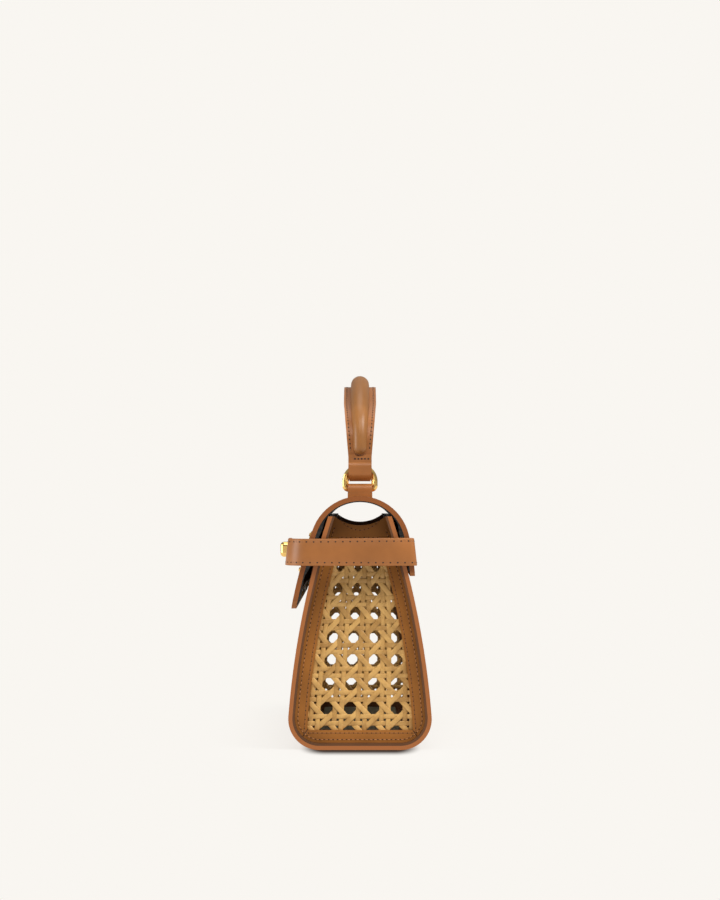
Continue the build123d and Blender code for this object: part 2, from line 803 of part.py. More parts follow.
roll_growth = handle_leather / 2 + roll_rise - roll_radius
with BuildPart() as handle_roll:
    with BuildLine(Plane.XZ) as roll_path:
        handle_arch(roll_growth, roll_end_height)
    with BuildSketch(Plane.XY.offset(roll_end_height)):
        with Locations((ring_spread + roll_growth, 0)):
            RegularPolygon(roll_radius, roll_sides)
    sweep(path=roll_path.wire())
    with Locations(
        (ring_spread + roll_growth, 0, roll_end_height), (-ring_spread - roll_growth, 0, roll_end_height)
    ):
        Sphere(roll_radius)
    with BuildSketch(Plane.XZ):
        with BuildLine():
            handle_arch(handle_leather / 2, 0)
            Line((ring_spread + handle_leather / 2, 0), (-ring_spread - handle_leather / 2, 0))
        make_face()
    extrude(amount=handle_width, both=True, mode=Mode.SUBTRACT)

# Loops at the handle's feet, each folded round the top of a ring
loops = {}
bulge_half = opening_half + loop_leather
pinch_half = handle_leather / 2 + loop_leather
for side_name, side in (("right", 1), ("left", -1)):
    with BuildPart() as loop:
        with BuildSketch(Plane.XZ):
            with Locations((side * ring_spread, (opening_top + opening_bottom) / 2)):
                RectangleRounded(
                    2 * bulge_half, opening_top - opening_bottom + 2 * loop_leather, bulge_half - 0.2
                )
            with Locations((side * ring_spread, (opening_top + loop_top) / 2)):
                Rectangle(2 * pinch_half, loop_top - opening_top)
            with Locations((side * ring_spread, (opening_top + opening_bottom) / 2)):
                RectangleRounded(2 * opening_half, opening_top - opening_bottom, opening_half - 0.2, mode=Mode.SUBTRACT)
        extrude(amount=handle_end_width / 2, both=True)
        add(handle_strip.part, mode=Mode.SUBTRACT)
        add(handle_roll.part, mode=Mode.SUBTRACT)
    loops[side_name] = loop

parts = {
    "outer_wrap": outer_wrap,
    "wrap_lining": wrap_lining,
    "front_cane": front_cane,
    "back_cane": back_cane,
    "base_board": base_board,
    "lid": lid,
    "lid_lining": lid_lining,
    "lid_seam_strip": lid_seam_strip,
    "strap_right": strap_right,
    "strap_left": strap_left,
    "strap_plate_right": strap_plate_right,
    "strap_plate_left": strap_plate_left,
    "lock_patch": lock_patch,
    "lock_base": lock_base,
    "flap_plate": flap_plate,
    "flap_plate_screws": flap_plate_screws,
    "lock_knob": lock_knob,
    "handle_strip": handle_strip,
    "handle_roll": handle_roll,
}
for side_name in ("right", "left"):
    parts[f"gusset_trim_{side_name}"] = gusset_frames[side_name]
    parts[f"gusset_cane_{side_name}"] = gusset_canes[side_name]
    parts[f"gusset_facing_{side_name}"] = gusset_facings[side_name]
    parts[f"ring_{side_name}"] = rings[side_name]
    parts[f"handle_tab_{side_name}"] = tabs[side_name]
    parts[f"handle_loop_{side_name}"] = loops[side_name]

os.makedirs("parts", exist_ok=True)
for name, piece in parts.items():
    piece.part.label = name
    export_step(piece.part, f"parts/{name}.step")
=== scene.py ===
import random
from math import atan2, ceil, cos, hypot, pi, radians, sin, sqrt, tan

import bpy
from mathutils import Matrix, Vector


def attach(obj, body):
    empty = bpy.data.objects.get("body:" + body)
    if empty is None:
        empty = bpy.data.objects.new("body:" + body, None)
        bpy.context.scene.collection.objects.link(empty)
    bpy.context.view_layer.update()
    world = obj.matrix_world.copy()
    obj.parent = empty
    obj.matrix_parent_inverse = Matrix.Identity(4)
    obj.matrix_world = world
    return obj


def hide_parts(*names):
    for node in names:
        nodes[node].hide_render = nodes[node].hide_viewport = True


# Basket box bag. Sizes are in millimetres up to the meshes, which are in metres.
# X runs along the bag, -Y is the front with the lock, +Z is up.
MM = 0.001
random.seed(7)

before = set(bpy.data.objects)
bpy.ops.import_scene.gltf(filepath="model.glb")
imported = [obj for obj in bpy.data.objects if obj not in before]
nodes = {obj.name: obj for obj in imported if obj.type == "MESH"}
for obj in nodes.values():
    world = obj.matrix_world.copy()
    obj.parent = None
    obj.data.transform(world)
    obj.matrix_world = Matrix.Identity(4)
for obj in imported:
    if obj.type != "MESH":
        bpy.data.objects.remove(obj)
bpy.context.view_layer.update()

# Body
bag_length = 185.0
body_height = 124.6
base_half = 39.3
mouth_half = 17.0
side_bulge = 4.4
corner_radius = 16.5
wall_thickness = 3.4
half_length = bag_length / 2

# Windows and cane
window_half = 80.5
window_bottom = 13.5
window_top = 92.5
cane_pitch = 12.7
cane_depth = 1.7
cane_hidden = 1.6
strand_width = 2.45
strand_spread = 1.85
diagonal_width = 2.75
strand_thickness = 0.42
strand_profile = (
    (-1, -0.35), (-1, 0.25), (-0.72, 0.85), (0, 1), (0.72, 0.85), (1, 0.25), (1, -0.35), (0, -0.8),
)
strand_play = 0.02
diagonal_play = 0.03
diagonal_swing = 1.7
steps_per_pitch = 14
gusset_sheet_half = 56.0
gusset_sheet_foot = 6.0
gusset_sheet_top = 116.0
wall_sheet_half = 84.0
wall_sheet_margin = 3.0
cane_first_row = 9.0
cane_lean = 5.0
cane_narrowing = 0.4

# Gussets
gusset_foot_x = half_length - 4.5
gusset_head_x = half_length - 13.5
gusset_bow = 2.3
trim_width = 7.0
trim_window_bottom = 10.0
trim_window_top = 111.6
trim_top_side = 124.2
trim_dip = 5.0
trim_rim_top = 118.0
mitre_reach = (3.2, 4.6)

# Stitches
stitch_share = 0.64
stitch_profile = ((-0.5, 0.35, -0.5), (-0.36, 0.8, -0.15), (0, 1, 0), (0.36, 0.8, -0.15), (0.5, 0.35, -0.5))
fine_pitch = 2.4
wall_pitch = 2.8
strap_pitch = 3.9
loop_pitch = 1.9
trim_margin = 1.5
trim_top_margin = 2.2
trim_rim_margin = 1.6
trim_bore = 0.75
frame_margin = 2.2
seam_margin = 2.6
seam_foot = corner_radius + 3.0
seam_top = 122.0
flap_seam_end = 5.0
strap_margin = 1.7
handle_margin = 1.5
sunk_rise = 0.08

# Lid
lid_top = 135.4
lid_radius = 26.83
lid_centre_z = lid_top - lid_radius
flap_end = (-36.9, 75.0)
skirt_end = (29.4, 92.6)
flap_turn = 70.0
skirt_turn = 76.0
lid_leather = 2.6
lining_thickness = 0.6
lining_swell = 3.6
lining_end_gap = 0.9
lining_play = 0.02
lining_clear = 0.3
lining_fill = 0.92
lining_steps = 140
lining_stride = 1.7
lock_zone = 36.0

# Straps
strap_bottom = 98.3
strap_width = 14.9
strap_slope = tan(radians(6.5))
strap_side = 97.0
strap_front = 40.4
strap_left_front = strap_front - 3.0
strap_back = 30.6
strap_front_curve = 14.0
strap_thickness = 1.8
strap_end_width = 11.4
strap_back_corner = 4.0
strap_near_droop = 0.5
strap_far_droop = 5.0
strap_back_fall = 1.8
strap_front_xs = (-13, -12.6, -11.8, -10.5, -9, 0, 12, 24, 36, 48, 60, 70)
strap_side_ys = (-15, -5, 5, 15)
strap_back_xs = (80, 65, 50, 38, 34, 32, 31, 30.5)
strap_end_round = 4.5
strap_narrow_from = 76.0
strap_narrow_over = 70.0
droop_from = 20.0
droop_over = 40.0
back_fall_over = 30.0
band_round = 0.45
band_corner = 0.12
lock_height = 104.6

# Handle
ring_spread = 61.0
tab_hump = 3.05
tab_patch = 1.9
tab_half = 6.6
handle_apex = 198.5
handle_leather = 2.4
handle_width = 18.0
handle_end_width = 12.8
handle_taper_foot = 157.0
handle_taper_top = 187.0
shoulder_z = 163.0
shoulder_radius = 20.0
roll_radius = 5.2
roll_lift = 2.4
roll_end = 162.0
roll_full = 190.0
roll_end_half = 3.7
roll_end_lift = 1.7
roll_sides = 24
roll_cap_steps = 6
loop_leather = 1.3
loop_top = 158.5
loop_stitch_drop = 2.6
loop_stitch_half = 4.6

# Colours, linear
LEATHER = (0.335, 0.122, 0.030, 1)
LEATHER_ROLL = (0.290, 0.118, 0.030, 1)
LEATHER_DARK = (0.34, 0.128, 0.024, 1)
LEATHER_EDGE = (0.36, 0.118, 0.028, 1)
# Painted shade: a darker copy of the edge paint for the lid, to tone down the stronger light its edges get
# from above
LID_EDGE_PAINTED_SHADE = (0.26, 0.080, 0.018, 1)
LEATHER_INSIDE = (0.11, 0.040, 0.010, 1)
CANE = (0.70, 0.41, 0.125, 1)
CANE_DARK = (0.42, 0.215, 0.052, 1)
# Painted shade: the darker cane colour used towards the top, where the straps and lid shade the cane
CANE_PAINTED_SHADE = (0.36, 0.205, 0.066, 1)
GOLD = (0.93, 0.60, 0.20, 1)
THREAD = (0.27, 0.105, 0.038, 1)
PALE_THREAD = (0.50, 0.22, 0.085, 1)
HOLE = (0.022, 0.008, 0.004, 1)
LINING = (0.006, 0.005, 0.004, 1)
BOARD = (0.15, 0.14, 0.09, 1)
BACKGROUND = (0.947, 0.922, 0.88, 1)
FLOOR = (0.82, 0.82, 0.82, 1)
# Painted contact shadow: the floor's colour right round the bag's foot, seen by the camera only
PAINTED_CONTACT_SHADOW = (0.06, 0.04, 0.03, 1)
DAYLIGHT = (1, 0.985, 0.96, 1)
DAYLIGHT_STRENGTH = 0.31
WARM_LAMP = (1, 0.985, 0.96)
SOFT_LAMP = (1, 0.99, 0.97)
WHITE_LAMP = (1, 1, 1)

# Floor round the bag, in metres
floor_half = 6.0
lit_share = 0.20
lit_reach = 0.07
contact_half = (0.088, 0.018, 0)
contact_weight = (0.5, 1, 0)
# Painted contact shadow: distances past the footprint where it starts to fade and where it is gone
painted_shadow_start = 0.0045
painted_shadow_end = 0.0155

# View
picture_width = 720
focal_pixels = 2065
sensor_width = 36.0
camera_distance = 1.1975
camera_height = 0.136
camera_pitch = 1.25


def held(value):
    """A value held between 0 and 1."""
    return max(0.0, min(1.0, value))


def smooth(value):
    """Smooth step of a value held between 0 and 1."""
    share = held(value)
    return share * share * (3 - 2 * share)


# Surfaces of the CAD frame
wall_chord = hypot(base_half - mouth_half, body_height)
wall_radius = (wall_chord**2 / 4 + side_bulge**2) / (2 * side_bulge)
wall_centre_y = (base_half + mouth_half) / 2 - body_height / wall_chord * (wall_radius - side_bulge)
wall_centre_z = body_height / 2 - (base_half - mouth_half) / wall_chord * (wall_radius - side_bulge)
gusset_chord = hypot(gusset_foot_x - gusset_head_x, body_height)
gusset_radius = (gusset_chord**2 / 4 + gusset_bow**2) / (2 * gusset_bow)
gusset_lean = atan2(gusset_foot_x - gusset_head_x, body_height)
gusset_centre_x = (gusset_foot_x + gusset_head_x) / 2 - cos(gusset_lean) * (gusset_radius - gusset_bow)
gusset_centre_z = body_height / 2 - sin(gusset_lean) * (gusset_radius - gusset_bow)


def wall_half(z, inset):
    """Half the body's width at a height, to a surface inset inside the wall."""
    return wall_centre_y + sqrt((wall_radius - inset) ** 2 - (z - wall_centre_z) ** 2)


def gusset_x(z, depth):
    """Distance of a gusset surface from the middle, depth below its outer face."""
    return gusset_centre_x + sqrt((gusset_radius - depth) ** 2 - (z - gusset_centre_z) ** 2)


def wall_point(side, x, z, depth):
    """Point on the front (side -1) or back (side 1) wall."""
    return Vector((x, side * wall_half(z, depth), z))


def gusset_point(side, y, z, depth):
    """Point on the right (side 1) or left (side -1) gusset."""
    return Vector((side * gusset_x(z, depth), y, z))


def side_circle(side, turn, end):
    """Centre and radius of the arc that leaves the lid's arch smoothly and ends at a point."""
    inward = (-side * sin(radians(turn)), -cos(radians(turn)))
    start = (-inward[0] * lid_radius, lid_centre_z - inward[1] * lid_radius)
    gap = (end[0] - start[0], end[1] - start[1])
    radius = (gap[0] ** 2 + gap[1] ** 2) / (2 * (gap[0] * inward[0] + gap[1] * inward[1]))
    return (start[0] + radius * inward[0], start[1] + radius * inward[1]), radius


def arc(centre, radius, start, end, count):
    """Points of a flat arc, between two angles."""
    angles = [start + (end - start) * i / count for i in range(count + 1)]
    return [(centre[0] + radius * cos(a), centre[1] + radius * sin(a)) for a in angles]


def lid_line(lift):
    """Line over the lid in the YZ plane from the flap's end to the skirt's end."""
    flap_centre, flap_radius = side_circle(-1, flap_turn, flap_end)
    skirt_centre, skirt_radius = side_circle(1, skirt_turn, skirt_end)
    foot = atan2(flap_end[1] - flap_centre[1], flap_end[0] - flap_centre[0]) % (2 * pi)
    heel = atan2(skirt_end[1] - skirt_centre[1], skirt_end[0] - skirt_centre[0])
    front = radians(90 + flap_turn)
    back = radians(90 - skirt_turn)
    line = arc(flap_centre, flap_radius + lift, foot, front, 30)
    line += arc((0, lid_centre_z), lid_radius + lift, front, back, 60)[1:]
    line += arc(skirt_centre, skirt_radius + lift, back, heel, 16)[1:]
    return line


def handle_line(growth, foot):
    """Line over the handle in the XZ plane, from one foot to the other."""
    middle_z = handle_apex - handle_leather / 2
    hub_x = ring_spread - shoulder_radius
    turn = pi / 2 - 2 * atan2(middle_z - shoulder_z - shoulder_radius, hub_x)
    shoulder = arc((hub_x, shoulder_z), shoulder_radius + growth, 0, turn, 14)
    join = shoulder[-1]
    rise = middle_z + growth - join[1]
    radius = (join[0] ** 2 + rise**2) / (2 * rise)
    half_turn = atan2(join[0], radius - rise)
    crown = arc((0, middle_z + growth - radius), radius, pi / 2 - half_turn, pi / 2 + half_turn, 40)
    right = [(ring_spread + growth, foot), *shoulder]
    left = [(-x, z) for x, z in reversed(right)]
    return right + crown[1:-1] + left


# Meshes built from many small pieces
class Builder:
    """Collects the faces of one piece and makes its object."""

    def __init__(self):
        self.points = []
        self.faces = []
        self.marks = []

    def tube(self, rings, mark):
        """Joins rings of points, all with the same count, into one skin that is closed at both ends."""
        start = len(self.points)
        size = len(rings[0])
        for ring in rings:
            self.points += ring
        known = len(self.faces)
        for here in range(start, len(self.points) - size, size):
            there = here + size
            for j in range(size):
                k = (j + 1) % size
                self.faces.append((here + j, here + k, there + k, there + j))
        self.faces.append(tuple(start + j for j in reversed(range(size))))
        self.faces.append(tuple(len(self.points) - size + j for j in range(size)))
        self.marks += [mark] * (len(self.faces) - known)

    def build(self, name, material, body, replaced=()):
        """Makes the object, which rides on a body. Its colour attribute holds the mark of each face."""
        mesh = bpy.data.meshes.new(name)
        mesh.from_pydata([p * MM for p in self.points], [], self.faces)
        mesh.update()
        shade = mesh.color_attributes.new("strand", "FLOAT_COLOR", "CORNER")
        values = []
        for face, mark in zip(self.faces, self.marks):
            values += [mark, 0, 0, 1] * len(face)
        shade.data.foreach_set("color", values)
        mesh.materials.append(material)
        mesh.shade_smooth()
        piece = bpy.data.objects.new(name, mesh)
        bpy.context.scene.collection.objects.link(piece)
        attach(piece, body)
        if replaced:
            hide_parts(*replaced)
        return piece


def ribbon_rings(points, normals, width, thickness):
    """Rings of a flat strand with rounded edges, along a line of points."""
    rings = []
    last = len(points) - 1
    for i, (point, normal) in enumerate(zip(points, normals)):
        ahead = (points[min(i + 1, last)] - points[max(i - 1, 0)]).normalized()
        across = ahead.cross(normal).normalized()
        up = across.cross(ahead).normalized()
        ring = []
        for u, v in strand_profile:
            ring.append(point + across * (u * width / 2) + up * (v * thickness / 2))
        rings.append(ring)
    return rings


# Woven cane
def weave_lift(offset):
    """Swing of a strand over and under the pair it crosses at a node."""
    if abs(offset) > 2 * strand_spread:
        return 0.0
    return sin(pi * offset / (2 * strand_spread))


def cell_offset(value, origin):
    """Distance to the nearest node of the weave along one direction."""
    return (value - origin + cane_pitch / 2) % cane_pitch - cane_pitch / 2


def weave(builder, place, inside, low, high, origin):
    """Weaves one sheet. place maps pattern u, v and lift to a point; inside says where the sheet is."""
    step = cane_pitch / steps_per_pitch
    lift = strand_thickness / 2 + strand_play
    reach = strand_thickness + diagonal_play

    def strand(line, width):
        """Adds the stretches of one strand that lie in the sheet."""
        run = []
        mark = random.random()
        for u, v, height in [*line, (None, None, None)]:
            if u is not None and inside(u, v):
                run.append((place(u, v, height), place(u, v, height + 1) - place(u, v, height)))
                continue
            if len(run) > 2:
                points = [point for point, _ in run]
                normals = [normal.normalized() for _, normal in run]
                builder.tube(ribbon_rings(points, normals, width, strand_thickness), mark)
            run = []

    steps_u = ceil((high[0] - low[0]) / step)
    steps_v = ceil((high[1] - low[1]) / step)
    us = [low[0] + i * step for i in range(steps_u + 1)]
    vs = [low[1] + i * step for i in range(steps_v + 1)]
    columns = range(int((low[0] - origin[0]) / cane_pitch) - 1, int((high[0] - origin[0]) / cane_pitch) + 2)
    rows = range(int((low[1] - origin[1]) / cane_pitch) - 1, int((high[1] - origin[1]) / cane_pitch) + 2)
    for column in columns:
        for side in (-1, 1):
            u = origin[0] + column * cane_pitch + side * strand_spread
            strand([(u, v, -side * lift * weave_lift(cell_offset(v, origin[1]))) for v in vs], strand_width)
    for row in rows:
        for side in (-1, 1):
            v = origin[1] + row * cane_pitch + side * strand_spread
            strand([(u, v, side * lift * weave_lift(cell_offset(u, origin[0]))) for u in us], strand_width)
    span = len(rows) + len(columns)
    for slant in (-1, 1):
        for number in range(-span, span + 1):
            line = []
            for u in us:
                v = origin[1] + (number + 0.5) * cane_pitch + slant * (u - origin[0])
                swing = cos(2 * pi * cell_offset(u, origin[0]) / cane_pitch)
                line.append((u, v, -slant * reach * max(-1, min(1, diagonal_swing * swing))))
            strand(line, diagonal_width)


def gusset_cane(side, name, node, material):
    """The woven sheet of one side panel."""
    builder = Builder()

    def leaning(u, v):
        """Place across the side panel: the pattern leans and gets narrower upwards."""
        share = v / body_height
        return cane_lean * share + u * (1 - cane_narrowing * share**2)

    def place(u, v, lift):
        return gusset_point(side, leaning(u, v), v, cane_depth - lift)

    def inside(u, v):
        if not trim_window_bottom - cane_hidden < v < trim_window_top + cane_hidden:
            return False
        return abs(leaning(u, v)) < wall_half(v, wall_thickness + trim_width) + cane_hidden

    low = (-gusset_sheet_half, gusset_sheet_foot)
    high = (gusset_sheet_half, gusset_sheet_top)
    weave(builder, place, inside, low, high, (0.0, cane_first_row - cane_pitch / 2))
    builder.build(name, material, "bag", (node,))


def wall_cane(side, name, node, material):
    """The woven sheet of the front or back wall."""
    builder = Builder()
    middle = (window_bottom + window_top) / 2

    def place(u, v, lift):
        return wall_point(side, u, v, cane_depth - lift)

    def inside(u, v):
        return (abs(u) < window_half + cane_hidden
                and window_bottom - cane_hidden < v < window_top + cane_hidden)

    low = (-wall_sheet_half, window_bottom - wall_sheet_margin)
    high = (wall_sheet_half, window_top + wall_sheet_margin)
    weave(builder, place, inside, low, high, (cane_pitch / 2, middle))
    builder.build(name, material, "bag", (node,))


# Stitches
def along(points, normals, pitch, closed=False, start=0.5):
    """Evenly spaced (point, direction, normal) triples on a line of points, the first start pitches in."""
    line = [Vector(p) for p in points]
    tops = [Vector(n) for n in normals] if isinstance(normals, list) else [Vector(normals)] * len(line)
    if closed:
        line.append(line[0])
        tops.append(tops[0])
    lengths = [(b - a).length for a, b in zip(line, line[1:])]
    gap = sum(lengths) / max(1, round(sum(lengths) / pitch))
    places = []
    travelled = 0.0
    target = gap * start
    for i, length in enumerate(lengths):
        while length > 0 and target <= travelled + length + 1e-9:
            share = (target - travelled) / length
            ahead = (line[i + 1] - line[i]).normalized()
            normal = tops[i].lerp(tops[i + 1], share).normalized()
            places.append((line[i].lerp(line[i + 1], share), ahead, normal))
            target += gap
        travelled += length
    return places


def stitch_line(threads, holes, points, normals, pitch, closed=False, thick=0.5, rise=0.2, bore=1.0):
    """Adds a row of stitches, with a dark hole between each two. bore widens or narrows the holes."""
    for point, ahead, normal in along(points, normals, pitch, closed):
        across = normal.cross(ahead).normalized()
        rings = []
        for share, size, sink in stitch_profile:
            middle = point + ahead * (share * pitch * stitch_share) + normal * (rise + (sink - 0.5) * thick)
            rings.append([
                middle + across * (cos(a) * size * thick / 2) + normal * (sin(a) * size * thick / 2)
                for a in (i * pi / 3 for i in range(6))
            ])
        threads.tube(rings, random.random())
    for hole, ahead, normal in along(points, normals, pitch, closed, 1.0):
        across = normal.cross(ahead).normalized()
        ring = [across * (cos(a) * thick * 0.8 * bore) + ahead * (sin(a) * thick * bore)
                for a in (i * pi / 4 for i in range(8))]
        foot = [hole + normal * 0.015 + r for r in ring]
        head = [hole + normal * 0.05 + r * 0.9 for r in ring]
        holes.tube([foot, head], 0.5)


# Materials
def material(name):
    """A new node material: its tree and its main shader."""
    made = bpy.data.materials.new(name)
    made.use_nodes = True
    tree = made.node_tree
    return made, tree, tree.nodes["Principled BSDF"]


def add_node(tree, kind, **values):
    """A node with some of its sockets or settings set by name."""
    made = tree.nodes.new(kind)
    for key, value in values.items():
        if key in made.inputs:
            made.inputs[key].default_value = value
        else:
            setattr(made, key, value)
    return made


def mix_colours(tree, share, first, second):
    """Colour between two colours or sockets."""
    mix = tree.nodes.new("ShaderNodeMix")
    mix.data_type = "RGBA"
    for socket, value in ((mix.inputs[0], share), (mix.inputs[6], first), (mix.inputs[7], second)):
        if isinstance(value, bpy.types.NodeSocket):
            tree.links.new(value, socket)
        else:
            socket.default_value = value
    return mix.outputs[2]


def ramp(tree, source, low, high):
    """Smooth step of a value between two levels."""
    step = tree.nodes.new("ShaderNodeMapRange")
    step.interpolation_type = "SMOOTHSTEP"
    step.inputs["From Min"].default_value = low
    step.inputs["From Max"].default_value = high
    tree.links.new(source, step.inputs["Value"])
    return step.outputs["Result"]


def shaded(colour, share):
    """A colour made darker or lighter."""
    return tuple(min(1, c * share) for c in colour[:3]) + (1,)


def leather(name, colour, edge_axis=None, roughness=0.40, edge_inverse=False, shine=0.40, edge=LEATHER_EDGE):
    """Smooth calf leather. Faces that look along edge_axis get the painted edge's colour.

    With edge_inverse it is the faces that look any other way.
    """
    made, tree, shader = material(name)
    coordinates = tree.nodes.new("ShaderNodeTexCoord")
    cloud = add_node(tree, "ShaderNodeTexNoise", Scale=38.0, Detail=3.0, Roughness=0.55)
    tree.links.new(coordinates.outputs["Object"], cloud.inputs["Vector"])
    pores = add_node(tree, "ShaderNodeTexNoise", Scale=1900.0, Detail=2.0, Roughness=0.6)
    tree.links.new(coordinates.outputs["Object"], pores.inputs["Vector"])
    clouds = ramp(tree, cloud.outputs["Fac"], 0.32, 0.68)
    base = mix_colours(tree, clouds, shaded(colour, 0.86), shaded(colour, 1.10))
    if edge_axis is not None:
        split = tree.nodes.new("ShaderNodeSeparateXYZ")
        tree.links.new(coordinates.outputs["Normal"], split.inputs[0])
        size = add_node(tree, "ShaderNodeMath", operation="ABSOLUTE")
        tree.links.new(split.outputs[edge_axis], size.inputs[0])
        limits = (0.80, 0.55) if edge_inverse else (0.86, 0.97)
        base = mix_colours(tree, ramp(tree, size.outputs[0], *limits), base, edge)
    tree.links.new(base, shader.inputs["Base Color"])
    bump = add_node(tree, "ShaderNodeBump", Strength=0.10, Distance=0.0001)
    tree.links.new(pores.outputs["Fac"], bump.inputs["Height"])
    tree.links.new(bump.outputs["Normal"], shader.inputs["Normal"])
    shader.inputs["Roughness"].default_value = roughness
    shader.inputs["Specular IOR Level"].default_value = shine
    return made


def cane_material():
    """Peeled rattan: strands that differ a little, with finer patches and a fine bump."""
    made, tree, shader = material("cane_strands")
    strand = add_node(tree, "ShaderNodeVertexColor", layer_name="strand")
    split = tree.nodes.new("ShaderNodeSeparateColor")
    tree.links.new(strand.outputs["Color"], split.inputs[0])
    coordinates = tree.nodes.new("ShaderNodeTexCoord")
    patches = add_node(tree, "ShaderNodeTexNoise", Scale=160.0, Detail=4.0, Roughness=0.65)
    tree.links.new(coordinates.outputs["Object"], patches.inputs["Vector"])
    chance = add_node(tree, "ShaderNodeMath", operation="MULTIPLY_ADD")
    chance.inputs[1].default_value = 0.35
    tree.links.new(split.outputs[0], chance.inputs[0])
    tree.links.new(patches.outputs["Fac"], chance.inputs[2])
    height = tree.nodes.new("ShaderNodeSeparateXYZ")
    tree.links.new(coordinates.outputs["Object"], height.inputs[0])
    base = mix_colours(tree, ramp(tree, chance.outputs[0], 0.95, 0.35), CANE, CANE_DARK)
    # Painted shade: the cane darkens from 70 to 125 mm up, where the straps and lid shade it
    painted_shade_top = mix_colours(tree, ramp(tree, height.outputs[2], 0.070, 0.125), base, CANE_PAINTED_SHADE)
    tree.links.new(painted_shade_top, shader.inputs["Base Color"])
    bump = add_node(tree, "ShaderNodeBump", Strength=0.25, Distance=0.0002)
    tree.links.new(patches.outputs["Fac"], bump.inputs["Height"])
    tree.links.new(bump.outputs["Normal"], shader.inputs["Normal"])
    shader.inputs["Roughness"].default_value = 0.45
    return made


def gold_material():
    """Polished pale gold plate."""
    made, _, shader = material("gold_plate")
    shader.inputs["Base Color"].default_value = GOLD
    shader.inputs["Metallic"].default_value = 1.0
    shader.inputs["Roughness"].default_value = 0.16
    return made


def plain_material(name, colour, roughness):
    """One colour and one roughness."""
    made, _, shader = material(name)
    shader.inputs["Base Color"].default_value = colour
    shader.inputs["Roughness"].default_value = roughness
    return made


def lining_material():
    """Dark glossy lining with soft creases."""
    made, tree, shader = material("glossy_lining")
    coordinates = tree.nodes.new("ShaderNodeTexCoord")
    creases = add_node(tree, "ShaderNodeTexNoise", Scale=130.0, Detail=4.0, Roughness=0.6)
    tree.links.new(coordinates.outputs["Object"], creases.inputs["Vector"])
    bump = add_node(tree, "ShaderNodeBump", Strength=0.3, Distance=0.001)
    tree.links.new(creases.outputs["Fac"], bump.inputs["Height"])
    tree.links.new(bump.outputs["Normal"], shader.inputs["Normal"])
    shader.inputs["Base Color"].default_value = LINING
    shader.inputs["Roughness"].default_value = 0.16
    return made


def board_material():
    """Matt board covered with fine cloth."""
    made, tree, shader = material("board_cloth")
    coordinates = tree.nodes.new("ShaderNodeTexCoord")
    weft = add_node(tree, "ShaderNodeTexNoise", Scale=700.0, Detail=2.0)
    tree.links.new(coordinates.outputs["Object"], weft.inputs["Vector"])
    base = mix_colours(tree, weft.outputs["Fac"], shaded(BOARD, 0.8), BOARD)
    tree.links.new(base, shader.inputs["Base Color"])
    shader.inputs["Roughness"].default_value = 0.9
    return made


cane = cane_material()
gold = gold_material()
wrap_leather = leather("wrap_leather", LEATHER, 0)
# The lid's leather; its edges get the darker copy of the edge paint as painted shade
lid_skin_shaded_edge = leather("lid_leather", LEATHER, 0, shine=0.3, edge=LID_EDGE_PAINTED_SHADE)
strap_leather = leather("strap_leather", LEATHER, 2)
strip_leather = leather("strip_leather", LEATHER, 1)
trim_leather = leather("trim_leather", LEATHER_DARK, 0, edge_inverse=True, shine=0.2)
roll_leather = leather("roll_leather", LEATHER_ROLL)
inside_leather = leather("inside_leather", LEATHER_INSIDE, roughness=0.6)
thread = plain_material("thread", THREAD, 0.6)
pale_thread = plain_material("pale_thread", PALE_THREAD, 0.6)
needle_hole = plain_material("needle_hole", HOLE, 0.8)

finishes = {
    "outer_wrap": wrap_leather,
    "wrap_lining": inside_leather,
    "base_board": board_material(),
    "lid": lid_skin_shaded_edge,
    "lid_lining": lining_material(),
    "lid_seam_strip": inside_leather,
    "lock_patch": wrap_leather,
    "handle_strip": strip_leather,
    "handle_roll": roll_leather,
}
for side in ("right", "left"):
    finishes[f"gusset_trim_{side}"] = trim_leather
    finishes[f"gusset_facing_{side}"] = inside_leather
    finishes[f"strap_{side}"] = strap_leather
    finishes[f"handle_tab_{side}"] = strip_leather
    finishes[f"handle_loop_{side}"] = strip_leather
    finishes[f"ring_{side}"] = gold
    finishes[f"strap_plate_{side}"] = gold
for name in ("lock_base", "flap_plate", "flap_plate_screws", "lock_knob"):
    finishes[name] = gold

# Rounded edges on the CAD pieces, in millimetres, and the angle in degrees from which an edge counts
sharp_from = 32
rounded_from = 40
edge_rounding = {
    "outer_wrap": 0.6, "lid": 1.0, "lock_knob": 1.1, "handle_strip": 0.5,
    "gusset_trim_right": 0.3, "gusset_trim_left": 0.3, "handle_loop_right": 0.35, "handle_loop_left": 0.35,
    "handle_tab_right": 0.4, "handle_tab_left": 0.4, "lock_patch": 0.3,
    "strap_plate_right": 0.2, "strap_plate_left": 0.2, "lock_base": 0.2,
}
for name, finish in finishes.items():
    mesh = nodes[name].data
    mesh.materials.clear()
    mesh.materials.append(finish)
    mesh.shade_smooth()
    mesh.set_sharp_from_angle(angle=radians(sharp_from))
    if name in edge_rounding:
        rounding = nodes[name].modifiers.new("rounding", "BEVEL")
        rounding.width = edge_rounding[name] * MM
        rounding.segments = 3
        rounding.limit_method = "ANGLE"
        rounding.angle_limit = radians(rounded_from)
        rounding.harden_normals = True

gusset_cane(1, "woven_side_right", "gusset_cane_right", cane)
gusset_cane(-1, "woven_side_left", "gusset_cane_left", cane)
wall_cane(-1, "woven_front", "front_cane", cane)
wall_cane(1, "woven_back", "back_cane", cane)


# Rows of stitches
def wrap_point(side, x, z):
    """Point on the wrap's outer face, which bends under the bag below the corner's height."""
    sink = corner_radius - sqrt(corner_radius**2 - max(0.0, corner_radius - z) ** 2)
    return Vector((x, side * (wall_half(z, 0) - sink), z))


def trim_path(side, margin):
    """Closed line round a gusset's window, margin outside the opening."""
    inset = wall_thickness + trim_width - margin
    low = trim_window_bottom - margin
    high = trim_window_top + margin
    heights = [low + (high - low) * i / 24 for i in range(25)]
    front = [gusset_point(side, -wall_half(z, inset), z, 0) for z in heights]
    back = [gusset_point(side, wall_half(z, inset), z, 0) for z in reversed(heights)]
    return front + back


